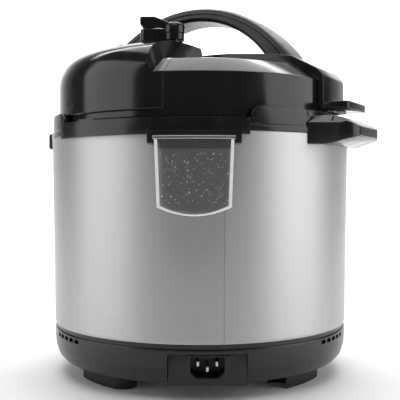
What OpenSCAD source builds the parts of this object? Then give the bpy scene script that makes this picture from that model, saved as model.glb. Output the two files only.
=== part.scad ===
// Electric pressure cooker, six litre class, with a turn-and-lift lid.
// +Z is up, z = 0 is the surface it stands on, and the drum's axis is the Z axis.
// The back, with its mains inlet and condensation cup, faces -Y. The control panel faces +Y.
// Angles around the drum are counted from the back (-Y) and grow towards +X.

/* [Drum] */
// Outside radius of the steel drum at its top edge
drum_r = 128; // [127:0.5:129]
// Outside radius of the steel drum at its bottom edge
drum_foot_r = 126; // [125.5:0.5:127]
// Height of the drum's bottom edge above the table
drum_z = 43; // [42:0.5:44]
// Height of the drum's top edge above the table
drum_top_z = 197.5; // [197:0.5:198]
// Thickness of the drum's steel sheet
sheet_t = 0.8; // [0.6:0.1:0.9]

/* [Base] */
// Height of the base housing's underside
base_z = 12; // [11:0.5:12]
// Radius of the ring that the four feet stand on
foot_ring_r = 96.5; // [94:0.5:97]
// Width of one foot, across the ring
foot_w = 21; // [16:1:22]
// Angle of the rear feet from the back
foot_angle = 51.5; // [46:0.5:54]
// Sideways offset of the mains inlet
inlet_x = 5.4; // [0:0.1:8]

/* [Lid] */
// Outside radius of the lid's skirt
lid_r = 120.5; // [119.8:0.1:120.8]
// Height of the skirt's lower edge
lid_z = 208; // [207.8:0.1:209]
// Angle of the carrying handle, turned from +X
handle_turn = -30; // [-45:1:-20]
// Width of the strap that carries the handle
strap_w = 47.5; // [44:0.5:49]
// Distance from the axis to the strap's end face
strap_end = 123.6; // [122:0.1:124]
// Reach of the ears on the strap's ends
ear_end = 143.5; // [138:0.5:146]
// Width of the arched grip
grip_w = 33; // [28:1:36]
// Outside radius of the grip's arch
grip_r = 114; // [112:0.1:114]
// Height of the arch's centre
grip_z = 197; // [196:0.1:197]
// Thickness of the grip
grip_t = 11.2; // [10:0.1:12]

/* [Side handles] */
// Reach of the side handles from the axis
side_end = 153; // [148:1:156]
// Width of one side handle
side_w = 66; // [60:1:68]

/* [Condensation cup] */
// Sideways offset of the cup
cup_x = -4; // [-8:1:0]
// Width of the cup's rim
cup_w = 58; // [50:1:60]
// Reach of the cup from the axis
cup_reach = 150; // [146:1:150]
// Height of the cup's rim
cup_top_z = 192.1; // [191:0.1:192.1]
// Height of the cup from its lowest point to its rim
cup_h = 56; // [46:1:60]

/* [Valves] */
// Place of the release valve, sideways
valve_x = -21; // [-24:1:-18]
// Place of the release valve, towards the front
valve_y = -50; // [-54:1:-46]
// Place of the float valve, sideways
float_x = -62; // [-66:1:-58]
// Place of the float valve, towards the front
float_y = -60; // [-64:1:-56]

/* [Control panel] */
// Width of the panel housing
panel_w = 92; // [88:1:100]
// Height of the panel housing
panel_h = 112; // [112:1:118]
// Reach of the panel housing from the axis
panel_reach = 149; // [148:0.5:149.5]
// Width of one button
button_w = 26; // [20:1:28]
// Height of one button
button_h = 11; // [8:1:12]

/* [Hidden] */
$fn = 96;

// Clearance between pieces that lie against each other
gap = 0.3;
// Far past every face that a cut has to leave
past = 400;

// Base
base_r = 125.8;
neck_r = 124.6;
neck_z = 39.5;
plate_r = 109.6;
plate_t = 2;
boss_ring_r = 104;
base_screw_angles = [90, 155, 205, 270];
foot_arc = 25.6;
foot_chamfer = 1.5;

// Mains inlet, to the common three-blade appliance pattern
inlet_w = 57.4;
inlet_low_z = 12;
inlet_top_z = 35.3;
inlet_face_y = -120;
inlet_back_y = -96;
flange_w = 33;
flange_h = 18.8;
flange_z = 24.9;
socket_w = 25;
socket_h = 15.5;
socket_z = 25.4;
socket_chamfer = 4.4;
socket_depth = 17;
blade_pitch = 14;
earth_drop = 4;

// Collar, gutter and rails
collar_wall_in = 123.9;
collar_wall_out = 127.3;
collar_wall_z = 216;
shelf_z = 203;
gutter_from = -57;
gutter_to = 16;
gutter_r = 131;
gutter_low_z = 194.6;
gutter_top_z = 206.7;
rail_w = 3.5;
hood_z = 192.4;

// Pots and lock
pot_r = 109.5;
pot_z = 66.5;
pot_top_z = 205.2;
outer_r = 110.3;
lug_count = 8;
lug_arc = 18;

// Sensor
sensor_r = 17.5;
sensor_top_z = 66.3;
stem_r = 5;

// Side handle fixing
side_screw_y = 20;
side_screw_z = 193;
side_low_z = 194.6;
side_root_z = 189.2;
side_root_half = 46;
side_root_x = 119.5;
side_wing_x = 139;
side_shoulder_z = 205.5;
side_top_z = 211.4;

// Strap and grip
strap_top_z = 267.8;
strap_low_z = 216.5;
ear_top_z = 223;
bolt_t = 76;
grip_hole_r = 87.6;
grip_half_run = 91;

// Panel
panel_z = 120;
button_x = 20;
button_zs = [122, 106, 90, 74];
display_w = 60;
display_h = 26;
display_z = 154;
board_y = 137;
panel_cavity_r = panel_reach - 3;

// Wires
wire_ring_r = 90;
lead_y = 118.8;

// Outline of the lid cover's outer face: radius and height, from the skirt to the middle
lid_outline = [
  [lid_r, lid_z], [lid_r, 241], [104, 253], [85, 256.6], [60, 259.4], [30, 261], [0, 261.5]
];
// The same for the cover over the valves, which stands proud of the lid
valve_outline = [
  [122.3, 213], [122.3, 238], [121.2, 248], [117.8, 256], [112.5, 261.5], [104, 265.6],
  [90, 269.4], [70, 272.2], [45, 273.8], [0, 274.4]
];

// ---------------------------------------------------------------- helpers

// Turns a shape made at the back to an angle around the drum
module around(angle) {
  rotate([0, 0, angle]) children();
}

// Turns a shape made along +X to the carrying handle's direction
module along_handle() {
  rotate([0, 0, handle_turn]) children();
}

// Sector of a turned shape, from one angle to another, counted from the back
module sector(from, to) {
  rotate([0, 0, from - 90]) rotate_extrude(angle = to - from, $fn = 180) children();
}

// Rectangle with true round corners, centred
module round_rect(w, h, r) {
  square([w - 2 * r, h], center = true);
  square([w, h - 2 * r], center = true);
  for (sx = [-1, 1], sy = [-1, 1]) translate([sx * (w / 2 - r), sy * (h / 2 - r)]) circle(r);
}

// Stands an outline drawn in X and Z up, from one Y to another
module stand(y_from, y_to) {
  translate([0, y_to, 0]) rotate([90, 0, 0]) linear_extrude(y_to - y_from) children();
}

// Turned solid under an outline of radius and height, down to a given height
module turned(outline, low) {
  rotate_extrude($fn = 180) polygon(concat([[0, low], [outline[0][0], low]], outline));
}

// Ring between two radii
module ring(r_in, r_out, z_from, z_to) {
  translate([0, 0, z_from]) difference() {
    cylinder(r = r_out, h = z_to - z_from);
    translate([0, 0, -1]) cylinder(r = r_in, h = z_to - z_from + 2);
  }
}

// Upright disc or hole
module disc(x, y, r, z_from, z_to) {
  translate([x, y, z_from]) cylinder(r = r, h = z_to - z_from, $fn = 48);
}

// Disc or hole that lies along X
module disc_x(x_from, x_to, y, z, r) {
  translate([x_from, y, z]) rotate([0, 90, 0]) cylinder(r = r, h = x_to - x_from, $fn = 48);
}

// ---------------------------------------------------------------- base

module base_housing() {
  color([0.06, 0.06, 0.06]) difference() {
    union() {
      rotate_extrude($fn = 180) polygon([
        [114, base_z], [118.5, base_z + 1.4], [122.3, 17.6], [124.8, 24], [base_r, 32],
        [base_r, neck_z], [neck_r, neck_z], [neck_r, 49], [121.6, 49], [121.6, 33],
        [120.8, 25.5], [118.6, 19.4], [116, 16.4], [113, 15], [110, 15], [110, base_z]
      ]);
      for (a = base_screw_angles) around(a) {
        disc(0, -boss_ring_r, 4.5, base_z + plate_t + 0.2, 34);
        translate([-1.5, -119.4, 20]) cube([3, 13, 12]);
      }
    }
    for (a = base_screw_angles) around(a) disc(0, -boss_ring_r, 1.8, base_z, 32);
    translate([inlet_x - inlet_w / 2 - gap, -past, base_z - 1])
      cube([inlet_w + 2 * gap, past + inlet_back_y - 4, inlet_top_z - base_z + 1 + gap]);
    for (side = [-1, 1], i = [0:4]) around(side * (50 + 4 * i))
      translate([-3, -130, 34.6]) cube([6, 20, 2.6]);
  }
}

module base_plate() {
  color([0.12, 0.12, 0.12]) difference() {
    translate([0, 0, base_z]) cylinder(r = plate_r, h = plate_t, $fn = 180);
    translate([inlet_x - inlet_w / 2 - gap, -past, base_z - 1])
      cube([inlet_w + 2 * gap, past + inlet_back_y + gap, 6]);
    for (a = base_screw_angles) around(a) disc(0, -boss_ring_r, 2.2, base_z - 1, base_z + 6);
    for (i = [-4:4]) translate([i * 9 - 1.5, 12, base_z - 1]) cube([3, 44, 6]);
    for (i = [-3:3]) translate([i * 9 - 1.5, -60, base_z - 1]) cube([3, 34, 6]);
  }
}

module foot() {
  half = foot_w / 2;
  section = [
    [foot_ring_r - half, base_z], [foot_ring_r - half, foot_chamfer],
    [foot_ring_r - half + foot_chamfer, 0], [foot_ring_r + half - foot_chamfer, 0],
    [foot_ring_r + half, foot_chamfer], [foot_ring_r + half, base_z]
  ];
  sector(-foot_arc / 2, foot_arc / 2) polygon(section);
  for (side = [-1, 1]) around(side * foot_arc / 2) translate([0, -foot_ring_r, 0])
    rotate_extrude() polygon([
      [0, 0], [half - foot_chamfer, 0], [half, foot_chamfer], [half, base_z], [0, base_z]
    ]);
}

module rubber_feet() {
  color([0.03, 0.03, 0.03])
    for (a = [foot_angle, -foot_angle, 180 - foot_angle, 180 + foot_angle]) around(a) foot();
}

module base_screws() {
  color("silver") for (a = base_screw_angles) around(a) {
    disc(0, -boss_ring_r, 1.75, base_z - 0.1, 30);
    difference() {
      disc(0, -boss_ring_r, 3.8, base_z - 2.4, base_z);
      translate([-2.5, -boss_ring_r - 0.4, base_z - 3]) cube([5, 0.8, 1.6]);
    }
  }
}

module socket_outline(grow) {
  w = socket_w / 2 + grow;
  h = socket_h / 2 + grow;
  c = socket_chamfer;
  polygon([[-w, h], [w, h], [w, c - h], [w - c, -h], [c - w, -h], [-w, c - h]]);
}

module inlet_socket() {
  color([0.05, 0.05, 0.05]) translate([inlet_x, 0, 0]) difference() {
    union() {
      translate([-inlet_w / 2, inlet_face_y, inlet_low_z])
        cube([inlet_w, inlet_back_y - inlet_face_y, inlet_top_z - inlet_low_z]);
      translate([0, 0, flange_z]) stand(inlet_face_y - 1.4, inlet_face_y + 1)
        round_rect(flange_w, flange_h, 2);
      translate([-socket_w / 2 - 2, inlet_back_y - 4, socket_z - 9]) cube([socket_w + 4, 9, 18]);
    }
    translate([0, 0, socket_z]) stand(inlet_face_y - 10, inlet_face_y + socket_depth)
      socket_outline(0);
    for (x = [-blade_pitch / 2, 0, blade_pitch / 2])
      translate([x - 1.05, inlet_face_y, blade_z(x) - 2.05]) cube([2.1, 50, 4.1]);
  }
}

// The middle blade sits lower than the two outer ones
function blade_z(x) = (x == 0) ? socket_z - earth_drop / 2 : socket_z + earth_drop / 2;

module inlet_pins() {
  color([0.75, 0.72, 0.65]) translate([inlet_x, 0, 0])
    for (x = [-blade_pitch / 2, 0, blade_pitch / 2])
      translate([x - 1, inlet_face_y + 3, blade_z(x) - 2]) cube([2, 34, 4]);
}

// ---------------------------------------------------------------- drum and collar

module drum_shell() {
  color([0.74, 0.74, 0.75]) difference() {
    rotate_extrude($fn = 180) polygon([
      [drum_foot_r, drum_z], [drum_r, drum_top_z], [drum_r - sheet_t, drum_top_z],
      [drum_foot_r - sheet_t, drum_z]
    ]);
    translate([-20, 100, panel_z - 15]) cube([40, 60, 30]);
    side_screw_holes(2.1);
  }
}

// Holes for the two screws of each side handle
module side_screw_holes(r) {
  along_handle() for (x = [-140, 115], y = [-side_screw_y, side_screw_y])
    disc_x(x, x + 25, y, side_screw_z, r);
}

module collar_wall(from, to) {
  sector(from, to) translate([collar_wall_in, shelf_z - 1])
    square([collar_wall_out - collar_wall_in, collar_wall_z - shelf_z + 1]);
}

module top_collar() {
  color([0.07, 0.07, 0.07]) difference() {
    union() {
      rotate_extrude($fn = 180) polygon([
        [124, 186], [126.6, 186], [126.6, drum_top_z + 0.2], [128.2, drum_top_z + 0.2],
        [128.2, 201], [127.6, shelf_z], [120, shelf_z], [120, 199.5], [124, 198]
      ]);
      collar_wall(17, 41);
      collar_wall(79, 221);
      collar_wall(259, 302);
    }
    side_screw_holes(2.1);
  }
}

module rear_gutter() {
  rail_x = cup_w / 2 + gap;
  color([0.05, 0.05, 0.05]) {
    difference() {
      union() {
        sector(gutter_from, gutter_to) polygon([
          [120.2, shelf_z + 0.2], [128.5, shelf_z + 0.2], [128.5, gutter_low_z],
          [gutter_r, gutter_low_z], [gutter_r, gutter_top_z], [129.2, gutter_top_z],
          [129.2, shelf_z + 1.6], [120.2, shelf_z + 1.6]
        ]);
        sector(-46, -37) translate([129.5, gutter_top_z - 1]) square([1.3, 2.4]);
        intersection() {
          translate([cup_x, 0, 0]) {
            translate([-rail_x - rail_w, -cup_reach, hood_z])
              cube([2 * (rail_x + rail_w), 30, gutter_low_z + 1 - hood_z]);
            for (side = [-1, 1]) translate([side * (rail_x + rail_w / 2), -cup_reach / 2, 0]) {
              translate([-rail_w / 2, -cup_reach / 2, 187]) cube([rail_w, 30, 7]);
              translate([(side > 0) ? -rail_w / 2 - 1 : 0, -cup_reach / 2, 187])
                cube([rail_w / 2 + 1, 30, 2.5]);
            }
          }
          ring(129.3, cup_reach - 0.4, 180, 200);
        }
      }
      disc(cup_x, -136, 4, hood_z - 1, gutter_low_z + 2);
    }
  }
}

// Side handle, made along +X: a plate with a deeper root that the screws enter
module side_plan() {
  translate([side_end - 30, 0]) round_rect(60, side_w, 13);
  polygon([
    [110, -side_root_half], [side_root_x, -side_root_half], [side_wing_x, -side_w / 2],
    [side_wing_x, side_w / 2], [side_root_x, side_root_half], [110, side_root_half]
  ]);
}

module side_handle_shape() {
  wing_turn = atan2(side_root_half - side_w / 2, side_wing_x - side_root_x);
  difference() {
    intersection() {
      rotate([90, 0, 0]) linear_extrude(2 * side_root_half, center = true) polygon([
        [115, side_root_z], [131, side_root_z], [side_end - 1.5, side_low_z],
        [side_end, side_low_z + 1.5], [side_end, 202.6], [side_end - 1.5, 203.8],
        [138, 210.6], [133, side_top_z], [115, side_top_z]
      ]);
      translate([0, 0, 150]) linear_extrude(80) side_plan();
    }
    translate([0, 0, 1]) cylinder(r = drum_r + 0.4, h = past, $fn = 180);
    for (y = [-side_screw_y, side_screw_y]) disc_x(115, 134.4, y, side_screw_z, 1.7);
    for (flip = [0, 1]) mirror([0, flip, 0]) {
      translate([side_root_x, side_root_half, side_shoulder_z]) rotate([0, 0, -wing_turn])
        rotate([45, 0, 0]) translate([-30, 0, 0]) cube([60, 30, 30]);
      translate([side_wing_x - 5, side_w / 2, side_shoulder_z])
        rotate([45, 0, 0]) cube([40, 30, 30]);
    }
  }
}

module side_handle_right() {
  color([0.06, 0.06, 0.06]) along_handle() side_handle_shape();
}

module side_handle_left() {
  color([0.06, 0.06, 0.06]) along_handle() rotate([0, 0, 180]) side_handle_shape();
}

module side_handle_screws() {
  color("silver") along_handle() for (turn = [0, 180], y = [-side_screw_y, side_screw_y])
    rotate([0, 0, turn]) {
      disc_x(119.2, 134, y, side_screw_z, 1.65);
      disc_x(118.4, 120.4, y, side_screw_z, 3.2);
    }
}

// ---------------------------------------------------------------- pots and lock

module outer_pot() {
  color([0.8, 0.8, 0.82]) difference() {
    rotate_extrude($fn = 180) polygon([
      [30, 46], [104, 46], [111.8, 54], [111.8, 195.6], [119.6, 196.4], [119.6, 198],
      [outer_r, 198], [outer_r, 54.8], [103.3, 47.6], [30, 47.6]
    ]);
    for (x = [-20, 20]) disc(x, 50, 5, 40, 50);
  }
}

module lock_ring() {
  color([0.7, 0.7, 0.72]) {
    ring(117.4, 119.6, 198.1, 207);
    for (i = [0:lug_count - 1]) sector(i * 45 - lug_arc / 2, i * 45 + lug_arc / 2)
      translate([115.6, 204.8]) square([2.2, 2.2]);
  }
}

module insulation_sleeve() {
  color([0.85, 0.85, 0.8]) ring(114, 116.5, 58, 180);
}

module heating_plate() {
  color([0.78, 0.78, 0.78]) rotate_extrude($fn = 120) polygon([
    [19, 58], [58, 58], [58, 50.5], [72, 50.5], [72, 58], [88, 58], [92, 62], [92, 66.2],
    [19, 66.2]
  ]);
}

module element_terminals() {
  color([0.8, 0.8, 0.75]) for (x = [-20, 20]) {
    disc(x, 50, 3.2, 44, 57.9);
    translate([x - 3, 49.6, 36]) cube([6, 0.8, 8.2]);
  }
}

module sensor_bracket() {
  color([0.65, 0.65, 0.67]) {
    ring(stem_r + 0.08, 33, 44.2, 45.8);
    ring(stem_r + 0.08, 9, 42, 44.2);
  }
}

module sensor_spring() {
  color("silver") ring(6.4, 8, 46, 57.8);
}

module sensor_button() {
  color([0.8, 0.8, 0.8]) {
    disc(0, 0, stem_r, 40.5, 59);
    ring(stem_r - 0.5, sensor_r, 58, 60);
    disc(0, 0, sensor_r, 59.8, sensor_top_z);
  }
}

module support_bracket() {
  color([0.6, 0.6, 0.62]) difference() {
    union() {
      translate([-97, -12, 33.4]) cube([194, 24, 1.6]);
      for (side = [-1, 1]) translate([side * 90 - 7, -12, 33.4]) cube([14, 24, 12.4]);
    }
    disc(0, 0, 9.6, 30, 50);
  }
}

module pressure_switch() {
  color([0.2, 0.2, 0.22]) {
    translate([-16, -11, 20]) cube([32, 22, 13.2]);
    disc(0, 0, 4, 33, 37.7);
  }
}

module thermal_fuse() {
  color([0.9, 0.9, 0.86]) disc_x(38, 60, 24, 42.4, 2.8);
}

module power_board() {
  color([0.1, 0.35, 0.15]) difference() {
    union() {
      translate([-48, 20, 18]) cube([96, 56, 1.6]);
      for (x = [-44, 44], y = [24, 72]) disc(x, y, 3, base_z + plate_t, 18.5);
    }
    for (x = [-44, 44], y = [24, 72]) disc(x, y, 1.2, 10, 30);
  }
  color([0.15, 0.15, 0.15]) {
    translate([-40, 30, 19.5]) cube([22, 18, 12]);
    translate([-8, 50, 19.5]) cube([24, 20, 11]);
    disc(32, 36, 6, 19.5, 31);
    disc(34, 60, 5, 19.5, 30);
  }
}

// Wires run in arcs around the base, and one lead rises behind the drum to the panel
module wiring_harness() {
  color([0.8, 0.2, 0.15]) {
    sector(16, 150) translate([wire_ring_r, 24]) circle(1.8, $fn = 24);
    sector(-150, -16) translate([wire_ring_r, 24]) circle(1.8, $fn = 24);
  }
  color([0.9, 0.9, 0.9]) {
    disc(0, lead_y, 2, 36, 112);
    translate([0, lead_y - 1, 112]) rotate([-90, 0, 0])
      cylinder(r = 2.2, h = board_y - lead_y, $fn = 24);
  }
}

// ---------------------------------------------------------------- control panel

module panel_button_places() {
  for (i = [0:3]) for (side = [-1, 1]) translate([side * button_x, 0, button_zs[i]]) children();
}

module panel_housing() {
  color([0.08, 0.08, 0.08]) difference() {
    intersection() {
      translate([0, 0, panel_z]) stand(100, 160) round_rect(panel_w, panel_h, 14);
      ring(drum_r + 0.4, panel_reach, 30, 200);
    }
    intersection() {
      translate([0, 0, panel_z]) stand(100, 160) round_rect(panel_w - 6, panel_h - 6, 11);
      translate([0, 0, 30]) cylinder(r = panel_cavity_r, h = 170, $fn = 180);
    }
    translate([0, 0, display_z]) stand(120, 160) round_rect(display_w + 0.4, display_h + 0.4, 3);
    panel_button_places() stand(120, 160) round_rect(button_w + 0.6, button_h + 0.6, 3);
  }
}

module display_lens() {
  color([0.1, 0.12, 0.14]) intersection() {
    translate([0, 0, display_z]) stand(120, 160) round_rect(display_w, display_h, 3);
    ring(panel_cavity_r + 0.4, panel_reach, 100, 190);
  }
}

module control_board() {
  color([0.1, 0.35, 0.15]) translate([0, 0, panel_z]) stand(board_y, board_y + 1.6)
    round_rect(76, 98, 4);
}

module display_module() {
  color([0.9, 0.9, 0.88]) translate([-28, board_y + 1.7, display_z - 11]) cube([56, 4.4, 22]);
}

module panel_button(x, z) {
  color([0.2, 0.2, 0.21]) translate([x, 0, z]) {
    intersection() {
      stand(142.4, 160) round_rect(button_w, button_h, 2.8);
      translate([-x, 0, -50]) cylinder(r = panel_reach + 1, h = 100, $fn = 180);
    }
    stand(139.8, 142.6) circle(2);
  }
}

module button_1() { panel_button(-button_x, button_zs[0]); }
module button_2() { panel_button(button_x, button_zs[0]); }
module button_3() { panel_button(-button_x, button_zs[1]); }
module button_4() { panel_button(button_x, button_zs[1]); }
module button_5() { panel_button(-button_x, button_zs[2]); }
module button_6() { panel_button(button_x, button_zs[2]); }
module button_7() { panel_button(-button_x, button_zs[3]); }
module button_8() { panel_button(button_x, button_zs[3]); }

// ---------------------------------------------------------------- condensation cup

// Front outline of the cup, drawn under its rim; inset shrinks it all round
module cup_outline(inset, up) {
  top = cup_top_z - 2.3 + up;
  low = cup_top_z - cup_h + inset;
  wt = cup_w / 2 - 1.2 - inset;
  wb = cup_w / 2 - 3 - inset;
  sag = 6;
  arc_r = (wb * wb + sag * sag) / (2 * sag);
  intersection() {
    polygon([[-wb, low], [wb, low], [wb, low + sag + 2], [wt, top], [-wt, top], [-wb, low + sag + 2]]);
    translate([0, low + arc_r]) circle(arc_r, $fn = 180);
  }
  polygon([[-wb, low + sag], [wb, low + sag], [wt, top], [-wt, top]]);
}

module condensation_cup() {
  color([0.85, 0.88, 0.9, 0.4]) translate([cup_x, 0, 0]) difference() {
    union() {
      intersection() {
        stand(-160, -120) cup_outline(0, 1);
        ring(drum_r + 2, cup_reach - 0.6, 100, 200);
      }
      intersection() {
        translate([-cup_w / 2, -160, cup_top_z - 2.3]) cube([cup_w, 40, 2.3]);
        ring(drum_r + 2, cup_reach, 100, 200);
      }
    }
    intersection() {
      stand(-160, -120) cup_outline(1.8, 10);
      ring(drum_r + 3.8, cup_reach - 2.4, 100, 220);
    }
  }
}

// ---------------------------------------------------------------- inner pot and seal

module inner_pot() {
  color([0.8, 0.8, 0.8]) rotate_extrude($fn = 180) polygon([
    [0, pot_z], [103, pot_z], [107.4, 68.4], [pot_r, 73], [pot_r, 203.6], [111.5, 203.6],
    [111.5, pot_top_z], [108.3, pot_top_z], [108.3, 73.6], [106.6, 70.4], [102.4, 69.3],
    [0, 69.3]
  ]);
}

module sealing_ring() {
  color([0.9, 0.9, 0.88]) rotate_extrude($fn = 180) polygon([
    [104, 206.6], [106, pot_top_z + 0.3], [112, pot_top_z + 0.3], [112, 212], [110.8, 213],
    [107.8, 213], [107.4, 208.4], [104.6, 208.4]
  ]);
}

// ---------------------------------------------------------------- lid

// Space beside the strap's rear edge and to one side of a line across the lid
module valve_area(inset) {
  n = strap_w / 2 + gap + inset;
  along = [cos(handle_turn), sin(handle_turn)];
  beside = [sin(handle_turn), -cos(handle_turn)];
  near = n * beside + (15.6 - inset) * along;
  rim = [-39.8 - inset, -115.6];
  far = rim + 0.3 * (rim - near);
  translate([0, 0, 150]) linear_extrude(200)
    polygon([near, far, far - [150, 0], n * beside - 150 * along]);
}

module lid_boss_places() {
  for (a = [100, 190, 280, 10]) around(a) translate([0, -70, 0]) children();
}

module lid_cover() {
  color([0.07, 0.07, 0.07]) difference() {
    union() {
      difference() {
        turned(lid_outline, lid_z);
        rotate_extrude($fn = 180) polygon([
          [0, 200], [117.9, 200], [117.9, 239.7], [102.8, 250.2], [84.4, 254], [59.8, 256.8],
          [30, 258.4], [0, 258.9]
        ]);
      }
      lid_boss_places() disc(0, 0, 5, 232.7, 256.4);
    }
    lid_boss_places() disc(0, 0, 1.95, 230, 254);
    disc(valve_x, valve_y, 9, 240, 280);
    disc(float_x, float_y, 4.5, 240, 280);
    along_handle() for (x = [-bolt_t, bolt_t]) disc(x, 0, 2.2, 240, 280);
  }
}

module valve_cover() {
  color([0.06, 0.06, 0.06]) difference() {
    intersection() {
      turned(valve_outline, 213);
      valve_area(0);
    }
    intersection() {
      turned([for (p = valve_outline) [max(p[0] - 1.7, 0), p[1] - 2.4]], 200);
      valve_area(2.2);
    }
    turned([for (p = lid_outline) [p[0] > 0 ? p[0] + 0.2 : 0, p[1] + 0.2]], 190);
    disc(valve_x, valve_y, 5.2, 230, 290);
    disc(float_x, float_y, 3.2, 230, 290);
  }
}

module strap_outline() {
  polygon([
    [-strap_end, strap_low_z], [-strap_end, 243], [-121.6, 247], [-117, 250.3], [-97, 261],
    [-80, 263.8], [-40, strap_top_z - 0.4], [-25, strap_top_z], [25, strap_top_z],
    [40, strap_top_z - 0.4], [80, 263.8], [97, 261], [117, 250.3], [121.6, 247],
    [strap_end, 243], [strap_end, strap_low_z]
  ]);
}

module lid_strap() {
  color([0.05, 0.05, 0.05]) difference() {
    along_handle() {
      difference() {
        rotate([90, 0, 0]) linear_extrude(strap_w, center = true) strap_outline();
        for (x = [-bolt_t, bolt_t]) disc(x, 0, 2.2, 240, 280);
      }
      translate([0, 0, strap_low_z]) linear_extrude(ear_top_z - strap_low_z)
        round_rect(2 * ear_end, strap_w - 1.5, 5);
    }
    turned([for (p = lid_outline) [p[0] > 0 ? p[0] + 0.2 : 0, p[1] + 0.2]], 190);
  }
}

// Part of the arched grip between an outer and an inner circle, above the strap
module grip_part(r_out, r_in, z_in) {
  difference() {
    rotate([90, 0, 0]) linear_extrude(grip_w, center = true) intersection() {
      difference() {
        translate([0, grip_z]) circle(r_out, $fn = 180);
        translate([0, z_in]) circle(r_in, $fn = 180);
      }
      translate([-grip_half_run, 255]) square([2 * grip_half_run, 80]);
    }
    translate([0, 0, 0.2]) rotate([90, 0, 0]) linear_extrude(strap_w + 10, center = true)
      union() {
        strap_outline();
        translate([-117, 190]) square([234, 60]);
      }
    for (x = [-bolt_t, bolt_t]) disc(x, 0, 2.05, 240, 277.4);
  }
}

module grip_lower() {
  color([0.1, 0.1, 0.1]) along_handle()
    grip_part(grip_r - grip_t / 2 - 0.2, grip_hole_r, grip_z + grip_r - grip_t - grip_hole_r);
}

module grip_upper() {
  color([0.13, 0.13, 0.13]) along_handle() grip_part(grip_r, grip_r - grip_t / 2, grip_z);
}

module grip_bolts() {
  color("silver") along_handle() for (x = [-bolt_t, bolt_t]) {
    disc(x, 0, 2, 252, 277);
    disc(x, 0, 4, 249.4, 252.6);
  }
}

module lid_liner() {
  color([0.8, 0.8, 0.8]) difference() {
    union() {
      rotate_extrude($fn = 180) polygon([
        [0, 231], [107.6, 231], [112.4, 227], [112.4, 201], [114, 201], [114, 228],
        [108.4, 232.4], [0, 232.4]
      ]);
      for (i = [0:lug_count - 1]) sector(i * 45 - lug_arc / 2, i * 45 + lug_arc / 2)
        translate([113.8, 201]) square([1.5, 2.6]);
    }
    disc(valve_x, valve_y, 4.65, 220, 240);
    disc(float_x, float_y, 2.6, 220, 240);
    lid_boss_places() disc(0, 0, 2.1, 220, 240);
  }
}

module lid_screws() {
  color("silver") lid_boss_places() {
    disc(0, 0, 1.9, 229, 252);
    disc(0, 0, 4, 228.4, 231);
  }
}

module seal_rack() {
  color([0.75, 0.75, 0.76]) {
    rotate_extrude($fn = 120) translate([106, 215.4]) circle(1.5, $fn = 24);
    for (a = [0:60:300]) around(a) disc(0, -106, 1.3, 215.4, 231);
  }
}

module vent_pipe() {
  color([0.7, 0.7, 0.7]) difference() {
    union() {
      disc(valve_x, valve_y, 4.6, 224, 284);
      disc(valve_x, valve_y, 7.5, 232.5, 238);
    }
    disc(valve_x, valve_y, 1.8, 220, 290);
  }
}

module vent_filter() {
  color([0.75, 0.75, 0.75]) difference() {
    union() {
      disc(valve_x, valve_y, 12, 217, 226);
      disc(valve_x, valve_y, 7, 226, 230.8);
    }
    disc(valve_x, valve_y, 10.8, 216, 225);
    disc(valve_x, valve_y, 4.62, 222, 232);
    for (a = [0:30:330]) translate([valve_x, valve_y, 0]) rotate([0, 0, a])
      disc_x(8, 14, 0, 221, 1);
  }
}

module valve_weight() {
  color([0.72, 0.72, 0.72]) difference() {
    disc(valve_x, valve_y, 6.5, 276.4, 287);
    disc(valve_x, valve_y, 4.66, 270, 284.3);
  }
}

module release_knob() {
  color([0.04, 0.04, 0.04]) translate([valve_x, valve_y, 0]) {
    difference() {
      union() {
        disc(0, 0, 8.8, 275.4, 288.6);
        disc(0, 0, 8, 288.5, 290.4);
        disc_x(-27.5, -7, 0, 280, 4.6);
        rotate([90, 0, 0]) linear_extrude(11, center = true) polygon([
          [-27.7, 290.6], [-27.7, 295], [-16, 295], [-4, 290.4], [-4, 286], [-14, 286.6],
          [-20, 288.4]
        ]);
      }
      disc(0, 0, 6.58, 270, 287.3);
      disc_x(-30, -14, 0, 280, 2.6);
    }
  }
}

module float_pin() {
  color([0.75, 0.1, 0.1]) {
    disc(float_x, float_y, 2.2, 223, 269.8);
    disc(float_x, float_y, 2.9, 266.6, 270.6);
    disc(float_x, float_y, 5, 221.6, 223.4);
  }
}

module float_gasket() {
  color([0.85, 0.85, 0.82]) translate([float_x, float_y, 0]) ring(2.21, 5, 223.5, 226.2);
}

// ---------------------------------------------------------------- assembly

base_housing();
base_plate();
rubber_feet();
base_screws();
inlet_socket();
inlet_pins();
drum_shell();
top_collar();
rear_gutter();
side_handle_right();
side_handle_left();
side_handle_screws();
outer_pot();
lock_ring();
insulation_sleeve();
heating_plate();
element_terminals();
sensor_bracket();
sensor_spring();
sensor_button();
support_bracket();
pressure_switch();
thermal_fuse();
power_board();
wiring_harness();
panel_housing();
display_lens();
control_board();
display_module();
button_1();
button_2();
button_3();
button_4();
button_5();
button_6();
button_7();
button_8();
condensation_cup();
inner_pot();
sealing_ring();
lid_cover();
valve_cover();
lid_strap();
grip_lower();
grip_upper();
grip_bolts();
lid_liner();
lid_screws();
seal_rack();
vent_pipe();
vent_filter();
valve_weight();
release_knob();
float_pin();
float_gasket();
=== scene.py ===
"""Looks of the electric pressure cooker: finished meshes, materials, light and camera.

Pieces are built in millimetres, and MM turns them into metres. The stage and the scales in the
materials are in metres. Angles around the drum are counted from the back (-Y) and grow towards +X,
in degrees.
"""

import math
import random

import bmesh
import bpy
from mathutils import Matrix, Vector


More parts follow.
